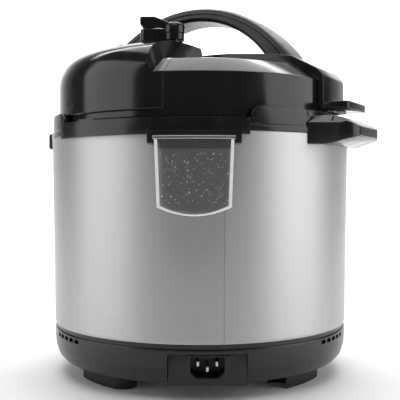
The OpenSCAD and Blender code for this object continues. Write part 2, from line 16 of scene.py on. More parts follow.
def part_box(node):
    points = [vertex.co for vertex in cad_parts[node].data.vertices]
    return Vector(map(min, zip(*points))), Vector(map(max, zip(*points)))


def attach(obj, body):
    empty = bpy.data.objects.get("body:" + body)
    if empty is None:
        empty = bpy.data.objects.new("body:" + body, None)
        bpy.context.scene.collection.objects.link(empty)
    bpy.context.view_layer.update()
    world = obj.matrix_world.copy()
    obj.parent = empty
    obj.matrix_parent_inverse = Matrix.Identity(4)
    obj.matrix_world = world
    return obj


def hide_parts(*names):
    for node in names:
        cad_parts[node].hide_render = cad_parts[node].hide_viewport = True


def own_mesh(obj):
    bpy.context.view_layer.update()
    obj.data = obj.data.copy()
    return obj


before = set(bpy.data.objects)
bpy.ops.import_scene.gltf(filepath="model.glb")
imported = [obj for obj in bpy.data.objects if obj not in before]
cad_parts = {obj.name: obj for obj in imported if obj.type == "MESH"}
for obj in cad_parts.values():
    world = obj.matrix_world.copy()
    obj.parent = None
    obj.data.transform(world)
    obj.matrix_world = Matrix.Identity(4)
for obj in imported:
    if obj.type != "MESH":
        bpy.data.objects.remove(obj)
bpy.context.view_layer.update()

MM = 0.001
HANDLE_TURN = -30.0  # degrees from +X to the carrying handle's direction

# ---------------------------------------------------------------- sizes, from the frame


def node_mm(node):
    """Lowest and highest corner of a CAD node, in millimetres."""
    low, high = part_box(node)
    return low / MM, high / MM


DRUM_LOW, DRUM_HIGH = node_mm("drum_shell")
LID_LOW, LID_HIGH = node_mm("lid_cover")
VALVE_LOW = node_mm("valve_cover")[0]
CUP_LOW, CUP_HIGH = node_mm("condensation_cup")
INLET_LOW, INLET_HIGH = node_mm("inlet_socket")

DRUM_R = DRUM_HIGH.x
DRUM_FOOT_R = DRUM_R - 2
LID_R = LID_HIGH.x
LID_RIM_Z = 241
BASE_R = node_mm("base_housing")[1].x
# profiles as (radius, height), from the shoulder inwards
LID_TOP = [(104, 253), (85, 256.6), (60, 259.4), (30, 261), (0, LID_HIGH.z)]
VALVE_TOP = [(121.2, 248), (117.8, 256), (112.5, 261.5), (104, 265.6), (90, 269.4), (70, 272.2)]
STRAP_HALF = 23.75  # half of the strap's width
STRAP_END = 123.6
STRAP_LOW = 216.6
EAR_END = 143.5
GRIP_R = 114.0  # outside of the arch
GRIP_Z = 197.0  # height of the arch's centre
GRIP_T = 11.2  # thickness of the grip
GRIP_HALF = 16.5  # half of the grip's width

# ---------------------------------------------------------------- mesh helpers


def at_angle(r, angle, z=0.0):
    """Point at a radius, an angle from the back and a height."""
    a = math.radians(angle)
    return Vector((r * math.sin(a), -r * math.cos(a), z))


def turned_by(degrees):
    """Rotation about the drum's axis."""
    return Matrix.Rotation(math.radians(degrees), 4, "Z")


def mix(start, end, share):
    """Value at a share of the way from one number to another."""
    return start + (end - start) * share


def smoothstep(x):
    """Smooth rise from 0 to 1."""
    x = min(max(x, 0.0), 1.0)
    return x * x * (3 - 2 * x)


def rounded(points, closed=True, steps=5):
    """Path through (x, y) or (x, y, radius) corners, with a curve at each corner that has a radius."""
    out = []
    count = len(points)
    for i, corner in enumerate(points):
        here = Vector(corner[:2])
        radius = corner[2] if len(corner) > 2 else 0
        inner = closed or 0 < i < count - 1
        if radius <= 0 or not inner:
            out.append(here)
            continue
        to_a = Vector(points[i - 1][:2]) - here
        to_b = Vector(points[(i + 1) % count][:2]) - here
        half = to_a.angle(to_b) / 2
        reach = min(radius / math.tan(half), to_a.length * 0.49, to_b.length * 0.49)
        start, end = here + to_a.normalized() * reach, here + to_b.normalized() * reach
        for k in range(steps + 1):
            t = k / steps
            out.append(start.lerp(here, t).lerp(here.lerp(end, t), t))
    return out


def piece(name, bm, material, body, stands_for=(), angle=32):
    """Turns a bmesh in millimetres into an object that rides on a CAD body."""
    bmesh.ops.remove_doubles(bm, verts=bm.verts, dist=0.004)
    bmesh.ops.dissolve_degenerate(bm, edges=bm.edges, dist=0.002)
    bmesh.ops.recalc_face_normals(bm, faces=bm.faces)
    bmesh.ops.scale(bm, vec=(MM, MM, MM), verts=bm.verts)
    mesh = bpy.data.meshes.new(name)
    bm.to_mesh(mesh)
    bm.free()
    for polygon in mesh.polygons:
        polygon.use_smooth = True
    mesh.set_sharp_from_angle(angle=math.radians(angle))
    obj = bpy.data.objects.new(name, mesh)
    bpy.context.scene.collection.objects.link(obj)
    mesh.materials.append(material)
    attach(obj, body)
    if stands_for:
        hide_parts(*stands_for)
    return obj


def soften(bm, width, angle):
    """Rounds every edge that is sharper than an angle."""
    limit = math.radians(angle)
    edges = [e for e in bm.edges if len(e.link_faces) == 2 and e.calc_face_angle(0) > limit]
    bmesh.ops.bevel(
        bm,
        geom=edges,
        offset=width,
        segments=3,
        profile=0.5,
        affect="EDGES",
        clamp_overlap=True,
    )


def merge(bm, other):
    """Adds another bmesh's faces to bm."""
    mesh = bpy.data.meshes.new("part")
    other.to_mesh(mesh)
    other.free()
    bm.from_mesh(mesh)
    bpy.data.meshes.remove(mesh)


def tube(bm, rows, ring=False):
    """Joins closed rows of vertices, each to the next, into a ring or with an end cap on each end."""
    pairs = list(zip(rows, rows[1:]))
    if ring:
        pairs.append((rows[-1], rows[0]))
    for a, b in pairs:
        for j in range(len(a)):
            k = (j + 1) % len(a)
            bm.faces.new((a[j], b[j], b[k], a[k]))
    if not ring:
        bm.faces.new(rows[0])
        bm.faces.new(list(reversed(rows[-1])))


def turned(profile, start=0.0, stop=360.0, columns=256, shape=None):
    """Closed (radius, height) profile turned about the axis. columns is their number or a list of
    angles, and shape(r, z, angle) may move a point."""
    bm = bmesh.new()
    whole = abs(stop - start) >= 360
    if isinstance(columns, int):
        angles = [start + (stop - start) * k / columns for k in range(columns + (not whole))]
    else:
        angles = columns
    rows = []
    for angle in angles:
        places = [shape(r, z, angle) if shape else (r, z) for r, z in profile]
        rows.append([bm.verts.new(at_angle(r, angle, z)) for r, z in places])
    tube(bm, rows, ring=whole)
    return bm


def prism(outline, low, high, along, soft=0.0):
    """Outline pushed along an axis: (x, z) outlines along Y, or (x, y) outlines along Z."""
    bm = bmesh.new()
    place = {
        "Y": lambda u, v, w: (u, w, v),
        "Z": lambda u, v, w: (u, v, w),
    }[along]
    bottom = [bm.verts.new(place(p[0], p[1], low)) for p in outline]
    top = [bm.verts.new(place(p[0], p[1], high)) for p in outline]
    count = len(outline)
    for i in range(count):
        k = (i + 1) % count
        bm.faces.new((bottom[i], bottom[k], top[k], top[i]))
    bm.faces.new(bottom)
    bm.faces.new(list(reversed(top)))
    bmesh.ops.recalc_face_normals(bm, faces=bm.faces)
    if soft:
        soften(bm, soft, 40)
    return bm


def rectangle(x, y, width, height, r):
    """Outline of a rectangle with round corners, centred on a place."""
    a, b = width / 2, height / 2
    corners = [(x - a, y - b, r), (x + a, y - b, r), (x + a, y + b, r), (x - a, y + b, r)]
    return rounded(corners)


def from_cad(node):
    """The CAD node's mesh as a clean bmesh in millimetres."""
    bm = bmesh.new()
    bm.from_mesh(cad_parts[node].data)
    bmesh.ops.scale(bm, vec=(1 / MM, 1 / MM, 1 / MM), verts=bm.verts)
    bmesh.ops.remove_doubles(bm, verts=bm.verts, dist=0.002)
    bmesh.ops.dissolve_limit(bm, angle_limit=math.radians(0.4), verts=bm.verts, edges=bm.edges)
    return bm


def refined(node, name, material, body, width, angle=35):
    """A CAD node's shape with its edges rounded, standing for that node."""
    bm = from_cad(node)
    soften(bm, width, angle)
    piece(name, bm, material, body, (node,))


# ---------------------------------------------------------------- materials


def shader(name, color, roughness, metallic=0.0):
    """New material with a Principled shader whose fixed values sit on its own sockets."""
    material = bpy.data.materials.new(name)
    material.use_nodes = True
    bsdf = material.node_tree.nodes["Principled BSDF"]
    bsdf.inputs["Base Color"].default_value = (*color, 1)
    bsdf.inputs["Roughness"].default_value = roughness
    bsdf.inputs["Metallic"].default_value = metallic
    return material, bsdf


def node(material, kind, **values):
    """Adds a shader node; values are set on its inputs by name."""
    made = material.node_tree.nodes.new(kind)
    for key, value in values.items():
        made.inputs[key.replace("_", " ")].default_value = value
    return made


def link(material, a, out, b, into):
    """Joins an output of one shader node to an input of another."""
    material.node_tree.links.new(a.outputs[out], b.inputs[into])


def noise(material, scale, detail, stretch=(1, 1, 1), source=None):
    """Noise over the object's own coordinates, in metres, stretched along its axes."""
    mapping = node(material, "ShaderNodeMapping")
    mapping.inputs["Scale"].default_value = stretch
    if source is None:
        source = (node(material, "ShaderNodeTexCoord"), "Object")
    link(material, source[0], source[1], mapping, "Vector")
    made = node(material, "ShaderNodeTexNoise", Scale=scale, Detail=detail)
    link(material, mapping, "Vector", made, "Vector")
    return made


def ranged(material, source, low, high):
    """Maps the middle of a noise's range to another range."""
    made = node(material, "ShaderNodeMapRange")
    made.inputs["From Min"].default_value = 0.3
    made.inputs["From Max"].default_value = 0.7
    made.inputs["To Min"].default_value = low
    made.inputs["To Max"].default_value = high
    link(material, source, "Fac", made, "Value")
    return made


def tinted(material, bsdf, source, dark, light):
    """Colour between two tones, by a noise."""
    ramp = node(material, "ShaderNodeValToRGB")
    ramp.color_ramp.elements[0].position = 0.3
    ramp.color_ramp.elements[1].position = 0.7
    ramp.color_ramp.elements[0].color = (*dark, 1)
    ramp.color_ramp.elements[1].color = (*light, 1)
    link(material, source, "Fac", ramp, "Fac")
    link(material, ramp, "Color", bsdf, "Base Color")


def bumped(material, bsdf, heights):
    """Bumps stacked on one another: (noise, strength, distance in metres)."""
    before = None
    for source, strength, distance in heights:
        made = node(material, "ShaderNodeBump", Strength=strength, Distance=distance)
        link(material, source, "Fac", made, "Height")
        if before:
            link(material, before, "Normal", made, "Normal")
        before = made
    link(material, before, "Normal", bsdf, "Normal")


def gloss_plastic(name, tone, roughness):
    """Polished moulded plastic: faint moulding waves and wiped, slightly uneven gloss."""
    material, bsdf = shader(name, (tone,) * 3, roughness)
    bsdf.inputs["IOR"].default_value = 1.5
    waves = noise(material, 22, 1.0)
    wipe = noise(material, 60, 5.0, (1, 1, 0.35))
    tinted(material, bsdf, wipe, (tone * 0.85,) * 3, (tone * 1.2,) * 3)
    gloss = ranged(material, wipe, roughness * 0.75, roughness * 1.4)
    link(material, gloss, "Result", bsdf, "Roughness")
    bumped(material, bsdf, [(waves, 0.12, 0.0006)])
    return material


def satin_plastic(name, tone, roughness, grain, warm=(1, 1, 1)):
    """Spark-eroded moulded plastic with a fine even grain."""
    color = tuple(tone * w for w in warm)
    material, bsdf = shader(name, color, roughness)
    fine = noise(material, 2600, 2.0)
    cloud = noise(material, 35, 4.0)
    tinted(material, bsdf, cloud, tuple(c * 0.85 for c in color), tuple(c * 1.18 for c in color))
    rough = ranged(material, cloud, roughness * 0.88, roughness * 1.12)
    link(material, rough, "Result", bsdf, "Roughness")
    bumped(material, bsdf, [(fine, grain, 0.00012)])
    return material


def around_axis(material):
    """Vector of (angle, height) about the Z axis, with its seam at the front."""
    place = node(material, "ShaderNodeTexCoord")
    split = node(material, "ShaderNodeSeparateXYZ")
    link(material, place, "Object", split, "Vector")
    back = node(material, "ShaderNodeMath")
    back.operation = "MULTIPLY"
    back.inputs[1].default_value = -1
    link(material, split, "Y", back, 0)
    angle = node(material, "ShaderNodeMath")
    angle.operation = "ARCTAN2"
    link(material, split, "X", angle, 0)
    link(material, back, "Value", angle, 1)
    joined = node(material, "ShaderNodeCombineXYZ")
    link(material, angle, "Value", joined, "X")
    link(material, split, "Z", joined, "Y")
    return joined


def brushed_steel(name, tone, roughness, wear=1.0):
    """Steel sheet brushed around the axis: fine streaks in tone, gloss and relief."""
    material, bsdf = shader(name, (tone,) * 3, roughness, metallic=1.0)
    grid = around_axis(material)
    hair = noise(material, 1.0, 2.0, (14.0, 6500.0, 1.0), (grid, "Vector"))
    band = noise(material, 1.0, 2.0, (2.5, 1400.0, 1.0), (grid, "Vector"))
    tinted(material, bsdf, hair, (tone * 0.93,) * 3, (tone * 1.05,) * 3)
    rough = ranged(material, band, roughness * 0.93, roughness * 1.07)
    link(material, rough, "Result", bsdf, "Roughness")
    bumped(material, bsdf, [(hair, 0.1 * wear, 0.00002)])
    bsdf.inputs["Anisotropic"].default_value = 0.55
    bsdf.inputs["Anisotropic Rotation"].default_value = 0.25
    tangent = node(material, "ShaderNodeTangent")
    tangent.direction_type = "RADIAL"
    tangent.axis = "Z"
    link(material, tangent, "Tangent", bsdf, "Tangent")
    return material


def metal(name, color, roughness):
    """Plain metal part with small handling marks."""
    material, bsdf = shader(name, color, roughness, metallic=1.0)
    marks = noise(material, 180, 5.0)
    tinted(material, bsdf, marks, tuple(c * 0.86 for c in color), color)
    rough = ranged(material, marks, roughness * 0.75, roughness * 1.35)
    link(material, rough, "Result", bsdf, "Roughness")
    bumped(material, bsdf, [(marks, 0.08, 0.0001)])
    return material


def rubber(name, color, roughness):
    """Moulded rubber or silicone with a soft matt skin."""
    material, bsdf = shader(name, color, roughness)
    bsdf.inputs["Specular IOR Level"].default_value = 0.35
    skin = noise(material, 900, 3.0)
    cloud = noise(material, 60, 3.0)
    tinted(material, bsdf, cloud, tuple(c * 0.88 for c in color), color)
    bumped(material, bsdf, [(skin, 0.3, 0.0001)])
    return material


def clear_plastic(name, color, through, roughness):
    """Clear, smoked or white material with a faint haze; the white ones, on the cup's edge and the
    water drops, are painted highlight. through is the share of light let through.
    """
    material, bsdf = shader(name, color, roughness)
    bsdf.inputs["Transmission Weight"].default_value = through
    bsdf.inputs["IOR"].default_value = 1.46
    haze = noise(material, 140, 4.0)
    rough = ranged(material, haze, roughness * 0.6, roughness * 2.2)
    link(material, rough, "Result", bsdf, "Roughness")
    bumped(material, bsdf, [(haze, 0.06, 0.0002)])
    return material


def circuit_board(name):
    """Green solder mask with pale tracks."""
    material, bsdf = shader(name, (0.02, 0.12, 0.05), 0.35)
    tracks = node(material, "ShaderNodeTexBrick", Scale=120)
    tracks.inputs["Color1"].default_value = (0.015, 0.11, 0.045, 1)
    tracks.inputs["Color2"].default_value = (0.02, 0.14, 0.06, 1)
    tracks.inputs["Mortar"].default_value = (0.06, 0.26, 0.12, 1)
    place = node(material, "ShaderNodeTexCoord")
    link(material, place, "Object", tracks, "Vector")
    link(material, tracks, "Color", bsdf, "Base Color")
    return material


GLOSS = gloss_plastic("gloss_black_plastic", 0.01, 0.14)
COLLAR = gloss_plastic("collar_black_plastic", 0.011, 0.2)
GRIP_UP = satin_plastic("grip_satin_plastic", 0.03, 0.3, 0.22)
GRIP_UNDER = satin_plastic("grip_lower_plastic", 0.016, 0.34, 0.2)
BASE = satin_plastic("base_satin_plastic", 0.009, 0.3, 0.2)
PANEL = gloss_plastic("panel_black_plastic", 0.016, 0.2)
KEYS = satin_plastic("key_grey_plastic", 0.16, 0.45, 0.25)
SOCKET = satin_plastic("socket_black_plastic", 0.012, 0.4, 0.25)
CERAMIC = satin_plastic("ceramic_white", 0.7, 0.7, 0.4, (1, 1, 0.95))
STEEL = brushed_steel("drum_brushed_steel", 0.52, 0.5)
POT_STEEL = brushed_steel("pot_satin_steel", 0.66, 0.24, wear=0.8)
LID_STEEL = metal("lid_pressed_steel", (0.66, 0.66, 0.67), 0.22)
ZINC = metal("zinc_plated_steel", (0.62, 0.63, 0.65), 0.3)
ALUMINIUM = metal("pressed_aluminium", (0.75, 0.75, 0.77), 0.36)
NICKEL = metal("nickel_blades", (0.7, 0.68, 0.62), 0.22)
SILICONE = rubber("white_silicone", (0.72, 0.72, 0.69), 0.5)
FOOT = rubber("foot_rubber", (0.02, 0.02, 0.02), 0.62)
WIRE = rubber("wire_sleeve", (0.55, 0.06, 0.04), 0.55)
RED = metal("float_red_anodised", (0.5, 0.03, 0.02), 0.3)
CLEAR = clear_plastic("cup_clear_plastic", (0.74, 0.74, 0.75), 0.98, 0.03)
# Nearly opaque white: painted highlight along the clear cup's edge and rim.
CUP_EDGE_HIGHLIGHT = clear_plastic("cup_edge_painted_highlight", (1.0, 1.0, 1.0), 0.05, 0.2)
SMOKE = clear_plastic("smoked_lens", (0.03, 0.035, 0.04), 0.6, 0.08)
# Opaque white: painted highlight for the glints on the water drops.
DROP_GLINT = clear_plastic("water_drops_painted_glint", (1.0, 1.0, 1.0), 0.0, 0.1)
BOARD = circuit_board("circuit_board_green")
# Nearly black: painted shadow for the hollow of a slot in the valve cover's skirt.
SLOT_SHADOW = satin_plastic("seam_shadow", 0.004, 0.8, 0.1)


# ---------------------------------------------------------------- base

VENT_ANGLES = [side * (50 + 4 * i) for side in (-1, 1) for i in range(5)]
VENT_HALF = 1.36  # degrees
VENT_LOW, VENT_HIGH = 34.6, 37.4
VENT_DEPTH = 3
EDGE = 0.04  # degrees between the two columns that make a sharp edge


def cut(obj, outline, low, high):
    """Cuts an (x, z) outline pushed along Y out of an object, and keeps the result as its mesh."""
    tool = prism(outline, low, high, "Y")
    bmesh.ops.scale(tool, vec=(MM, MM, MM), verts=tool.verts)
    mesh = bpy.data.meshes.new("cutter")
    tool.to_mesh(mesh)
    tool.free()
    cutter = bpy.data.objects.new("cutter", mesh)
    bpy.context.scene.collection.objects.link(cutter)
    boolean = obj.modifiers.new("cut", "BOOLEAN")
    boolean.object = cutter
    boolean.operation = "DIFFERENCE"
    boolean.solver = "EXACT"
    bpy.context.view_layer.update()
    seen = obj.evaluated_get(bpy.context.evaluated_depsgraph_get())
    done = bpy.data.meshes.new_from_object(seen)
    obj.modifiers.clear()
    obj.data = done
    done.set_sharp_from_angle(angle=math.radians(32))
    bpy.data.objects.remove(cutter)
    bpy.data.meshes.remove(mesh)


def base_columns():
    """Column angles that put an edge on both sides of each vent slot."""
    angles = {round(k * 1.5 - 180, 3) for k in range(240)}
    for middle in VENT_ANGLES:
        for edge in (-VENT_HALF, VENT_HALF):
            angles |= {round(middle + edge - EDGE, 3), round(middle + edge + EDGE, 3)}
    return sorted(angles)


def base_shape(r, z, angle):
    """Sinks the vent slots into the base's wall."""
    in_vent = any(abs(angle - middle) < VENT_HALF for middle in VENT_ANGLES)
    if in_vent and r > 125 and VENT_LOW <= z <= VENT_HIGH:
        r -= VENT_DEPTH
    return r, z


def make_base():
    """Turned base with sunk vent slots and an opening for the mains inlet."""
    top, r = 39.5, BASE_R
    outside = rounded(
        [(112.6, 12), (118.5, 12.8, 4), (122.9, 17.8, 5), (125.1, 25, 8), (r, 32)], closed=False
    )
    wall = [(r, VENT_LOW - 0.12), (r, VENT_LOW), (r, VENT_HIGH), (r, VENT_HIGH + 0.12)]
    wall += [(r, top - 0.6), (r - 0.2, top - 0.15)]
    inside = [(r - 0.7, top), (124.6, top), (124.6, 49), (121.6, 49), (121.6, 33), (120.6, 25.5)]
    inside += [(118.2, 19.4), (113, 15), (110, 15), (110, 12)]
    bm = turned(outside + wall + inside, columns=base_columns(), start=-180, stop=180, shape=base_shape)
    shell = piece("base_shell", bm, BASE, "base", ("base_housing",))
    middle = (INLET_LOW.x + INLET_HIGH.x) / 2
    width = INLET_HIGH.x - INLET_LOW.x + 1
    opening = rectangle(middle, INLET_HIGH.z - 19.4, width, 40, 0)  # from below the base upwards
    cut(shell, opening, -135, -100)


FOOT_RING_R, FOOT_HALF_WIDTH, FOOT_HALF_ARC = 96.5, 10.5, 12.8
FOOT_ANGLES = (51.5, -51.5, 128.5, -128.5)


def foot_outline():
    """Arc with round ends, around the back direction."""
    arc = [2 * FOOT_HALF_ARC * k / 12 for k in range(13)]
    points = [at_angle(FOOT_RING_R + FOOT_HALF_WIDTH, -FOOT_HALF_ARC + turn) for turn in arc]
    for side in (1, -1):
        middle = at_angle(FOOT_RING_R, side * FOOT_HALF_ARC)
        for k in range(1, 12):
            turn = side * FOOT_HALF_ARC + side * 180 * k / 12
            points.append(middle + at_angle(side * FOOT_HALF_WIDTH, turn))
        if side > 0:
            inner_r = FOOT_RING_R - FOOT_HALF_WIDTH
            points += [at_angle(inner_r, FOOT_HALF_ARC - turn) for turn in arc]
    return points


def make_feet():
    """Four curved feet in a ring."""
    whole = bmesh.new()
    for angle in FOOT_ANGLES:
        foot = prism(foot_outline(), 0, 12, "Z", soft=1.4)
        bmesh.ops.rotate(foot, matrix=turned_by(angle).to_3x3(), verts=foot.verts)
        merge(whole, foot)
    piece("feet", whole, FOOT, "base", ("rubber_feet",))


# ---------------------------------------------------------------- drum and collar

SEAM_ANGLE = 7.9
SEAM_HALF, SEAM_EDGE = 0.12, 0.03  # degrees
SEAM_DEPTH = 0.32


def make_drum():
    """Steel drum, a little narrower at its foot, with an upright seam."""
    low, high = DRUM_LOW.z, DRUM_HIGH.z
    angles = {round(k * 1.25 - 180, 3) for k in range(288)}
    for edge in (-SEAM_HALF, SEAM_HALF):
        angles |= {SEAM_ANGLE + edge - SEAM_EDGE, SEAM_ANGLE + edge + SEAM_EDGE}

    def seam(r, z, angle):
        """Sinks the narrow strip of the seam."""
        return (r - SEAM_DEPTH, z) if abs(angle - SEAM_ANGLE) < SEAM_HALF else (r, z)

    outside = rounded(
        [
            (DRUM_FOOT_R - 1.0, low),
            (DRUM_FOOT_R - 0.5, low, 0.3),
            (DRUM_FOOT_R, low + 1.8, 1.2),
            (DRUM_R, high - 0.6, 0.4),
            (DRUM_R - 0.4, high, 0.3),
            (DRUM_R - 0.9, high),
            (DRUM_FOOT_R - 1.2, low + 2),
        ],
        closed=False,
    )
    bm = turned(outside, columns=sorted(angles), start=-180, stop=180, shape=seam)
    piece("drum", bm, STEEL, "base", ("drum_shell",), angle=50)


WALL_IN, WALL_OUT, WALL_LOW, WALL_HIGH = 123.9, 127.3, 202.0, 216.0
WALL_CORNER = 8.0
WALLS = ((17, 41), (79, 221), (259, 302))  # first and last angle of each


def wall(start, stop):
    """Raised collar wall with rounded ends, from one angle to another."""
    bm = bmesh.new()
    length = math.radians(stop - start) * WALL_OUT
    count = max(24, int(length / 4))
    steps = [length * k / count for k in range(count + 1)]
    steps += [WALL_CORNER * (1 - math.cos(math.radians(t))) for t in (12, 24, 36, 48, 60, 72)]
    steps += [length - s for s in steps[-6:]]
    rows = []
    for s in sorted(set(round(s, 3) for s in steps)):
        edge = max(min(s, length - s), 0.0)
        drop = 0.0
        if edge < WALL_CORNER:
            drop = WALL_CORNER - math.sqrt(WALL_CORNER**2 - (WALL_CORNER - edge) ** 2)
        top = WALL_HIGH - drop
        angle = start + math.degrees(s / WALL_OUT)
        loop = [(WALL_OUT, WALL_LOW), (WALL_OUT, top - 1.1), (WALL_OUT - 0.35, top - 0.3)]
        loop += [(WALL_OUT - 1.1, top), (WALL_IN + 1.1, top), (WALL_IN + 0.35, top - 0.3)]
        loop += [(WALL_IN, top - 1.1), (WALL_IN, WALL_LOW)]
        rows.append([bm.verts.new(at_angle(r, angle, z)) for r, z in loop])
    tube(bm, rows)
    return bm


def make_collar():
    """Collar on top of the drum, with its raised walls."""
    top = DRUM_HIGH.z + 0.2
    profile = rounded(
        [
            (124, 186),
            (126.6, 186),
            (126.6, top),
            (128.2, top, 0.4),
            (128.2, 201, 1.2),
            (127.4, 203, 0.8),
            (120, 203, 0.6),
            (120, 199.5),
            (124, 198),
        ],
        steps=3,
    )
    bm = turned(profile, columns=240)
    for start, stop in WALLS:
        merge(bm, wall(start, stop))
    piece("collar", bm, COLLAR, "base", ("top_collar",))


# ---------------------------------------------------------------- lid


def make_lid_cover():
    """Lid shell with a bevelled shoulder."""
    r, low = LID_R, LID_LOW.z
    inner_top = [(0, LID_HIGH.z - 2.6), (60, 256.8), (102.8, 250.2), (r - 2.6, 239.7)]
    outside = rounded(
        [(r - 2.6, low), (r, low, 0.8), (r, LID_RIM_Z, 1.6), (104, 253, 3)] + LID_TOP[1:] + inner_top,
        closed=False,
        steps=4,
    )
    bm = turned(outside)
    piece("lid_shell", bm, GLOSS, "lid", ("lid_cover",), angle=24)


# Seen from above, the valve cover lies between the skirt and the strap's rear edge. Its right
# flank falls from a ridge to a foot; both run from the skirt to the strap.
SKIRT_FROM, SKIRT_RIDGE, SKIRT_FOOT = -108.3, -19.0, -12.9  # degrees
STRAP_FROM, STRAP_RIDGE, STRAP_FOOT = -120.2, 15.0, 21.5  # mm along the strap's edge
VALVE_R = 122.3
PLAIN_R = LID_R + 0.15  # just outside the lid's shell
PLAIN_RIM_Z = 241.1  # just above the shell's rim
SKIRT_TOP = 238
COVERED, FALLING, SKIRT_ROWS, TOP_ROWS = 130, 24, 14, 44  # columns and rows of the grid
BESIDE = Vector((-0.5, -math.cos(math.radians(30))))  # from the strap's middle to its rear edge
ALONG = Vector((math.cos(math.radians(30)), -0.5))


def smooth_path(path):
    """Cuts the corners of a path three times, and keeps both ends."""
    for _ in range(3):
        out = [path[0]]
        for a, b in zip(path, path[1:]):
            out += [a.lerp(b, 0.25), a.lerp(b, 0.75)]
        out.append(path[-1])
        path = out
    return path


def height_at(path, r):
    """Height of an (r, z) path, listed from the rim inwards, at a radius."""
    for a, b in zip(path, path[1:]):
        if b.x <= r <= a.x and a.x > b.x:
            return a.lerp(b, (a.x - r) / (a.x - b.x)).y
    return path[0].y if r > path[0].x else path[-1].y


VALVE_PATH = [Vector((VALVE_R, SKIRT_TOP)), Vector((VALVE_R - 0.2, 243))]
VALVE_PATH += [Vector(p) for p in VALVE_TOP] + [Vector((45, 273.4)), Vector((0, 274.2))]
VALVE_PATH = smooth_path(VALVE_PATH)
PLAIN_PATH = [Vector((PLAIN_R, PLAIN_RIM_Z))] + [Vector((r, z + 0.15)) for r, z in LID_TOP]


def flank(fallen, z):
    """Share of the valve cover's height that is left: 1 up to the ridge, 0 at the foot. It falls
    evenly low on the skirt, and sooner on the part above it."""
    if fallen <= 0:
        return 1.0
    steep = smoothstep((z - 233) / 8)
    return mix(1 - fallen, max(1 - fallen / 0.42, 0.0), steep)


def valve_column(i):
    """Skirt angle, place along the strap and share of the flank passed, for a column."""
    if i <= COVERED:
        share = i / COVERED
        return mix(SKIRT_FROM, SKIRT_RIDGE, share), mix(STRAP_FROM, STRAP_RIDGE, share), 0.0
    share = (i - COVERED) / FALLING
    return mix(SKIRT_RIDGE, SKIRT_FOOT, share), mix(STRAP_RIDGE, STRAP_FOOT, share), share


def skirt_point(outward, fallen, up):
    """Point of a column's upright part."""
    z = mix(VALVE_LOW.z, SKIRT_TOP, up)
    left = flank(fallen, z)
    r = mix(PLAIN_R, VALVE_R, left)
    return outward.x * r, outward.y * r, z + (PLAIN_RIM_Z - SKIRT_TOP) * up * (1 - left)


def top_point(start, end, fallen, inward):
    """Point of a column's upper part, between the skirt and the strap."""
    place = start.lerp(end, inward**1.8)
    r = min(place.length, VALVE_R)
    high = height_at(VALVE_PATH, r)
    plain = height_at(PLAIN_PATH, r)
    left = flank(fallen, mix(LID_RIM_Z, high, 0.5))
    if r > LID_R:
        plain = PLAIN_RIM_Z
        place *= 1 - (r - PLAIN_R) / r * (1 - left)
    return place.x, place.y, mix(plain, high, left)


def make_valve_cover():
    """Cover over the valves, as a grid of columns that run from the skirt up to the strap."""
    bm = bmesh.new()
    grid = []
    for i in range(COVERED + FALLING + 1):
        angle, along_strap, fallen = valve_column(i)
        outward = at_angle(1, angle).to_2d()
        end = BESIDE * (STRAP_HALF + 0.3) + ALONG * along_strap
        places = [skirt_point(outward, fallen, j / SKIRT_ROWS) for j in range(SKIRT_ROWS + 1)]
        for j in range(1, TOP_ROWS + 1):
            places.append(top_point(outward * VALVE_R, end, fallen, j / TOP_ROWS))
        x, y, z = places[-1]
        places.append((x, y, max(z - 11, 248)))  # edge turned down beside the strap
        grid.append([bm.verts.new(place) for place in places])
    for a, b in zip(grid, grid[1:]):
        for j in range(len(a) - 1):
            bm.faces.new((a[j], b[j], b[j + 1], a[j + 1]))
    bmesh.ops.remove_doubles(bm, verts=bm.verts, dist=0.01)
    obj = piece("valve_hood", bm, GLOSS, "lid", ("valve_cover",), angle=11)
    thick = obj.modifiers.new("thickness", "SOLIDIFY")
    thick.thickness = 1.2 * MM
    thick.offset = -1


def make_slot_shadow():
    """Dark plate low in the valve cover's skirt, where a narrow slot is: painted shadow standing for
    the slot's hollow.
    """
    length, height, corner, tilt = 15, 3.4, 1.6, 12
    middle_z, middle_angle = 222.5, -57.5
    bm = prism(rectangle(0, 0, length, height, corner), -0.9, 0.35, "Z", soft=0.3)
    bmesh.ops.rotate(bm, matrix=Matrix.Rotation(math.radians(90), 3, "X"), verts=bm.verts)
    bmesh.ops.rotate(bm, matrix=Matrix.Rotation(math.radians(tilt), 3, "Y"), verts=bm.verts)
    bend = 1 / (2 * VALVE_R)
    for vert in bm.verts:
        vert.co.y += vert.co.x**2 * bend - VALVE_R
        vert.co.z += middle_z
    bmesh.ops.rotate(bm, matrix=turned_by(middle_angle).to_3x3(), verts=bm.verts)
    piece("slot_shadow_plate", bm, SLOT_SHADOW, "lid")


STRAP_HALF_OUT = [(25, 267.8, 30), (40, 267.4, 30), (80, 263.8, 30), (97, 261, 8)]
STRAP_HALF_OUT += [(118.2, 249.6, 6), (STRAP_END, 243.4, 5), (STRAP_END, STRAP_LOW, 1)]
STRAP_HALF_IN = [(117.6, STRAP_LOW), (117.6, 238.5), (102, 249.8), (84, 253.6)]
EAR_START, EAR_WIDTH, EAR_TOP = 116, 46, 223


def strap_outline():
    """Closed (x, z) outline of the strap: over the top from left to right and back underneath."""
    left = [(-corner[0], *corner[1:]) for corner in reversed(STRAP_HALF_OUT)]
    under = STRAP_HALF_IN + [(-x, z) for x, z in reversed(STRAP_HALF_IN)]
    return rounded(left + STRAP_HALF_OUT) + under


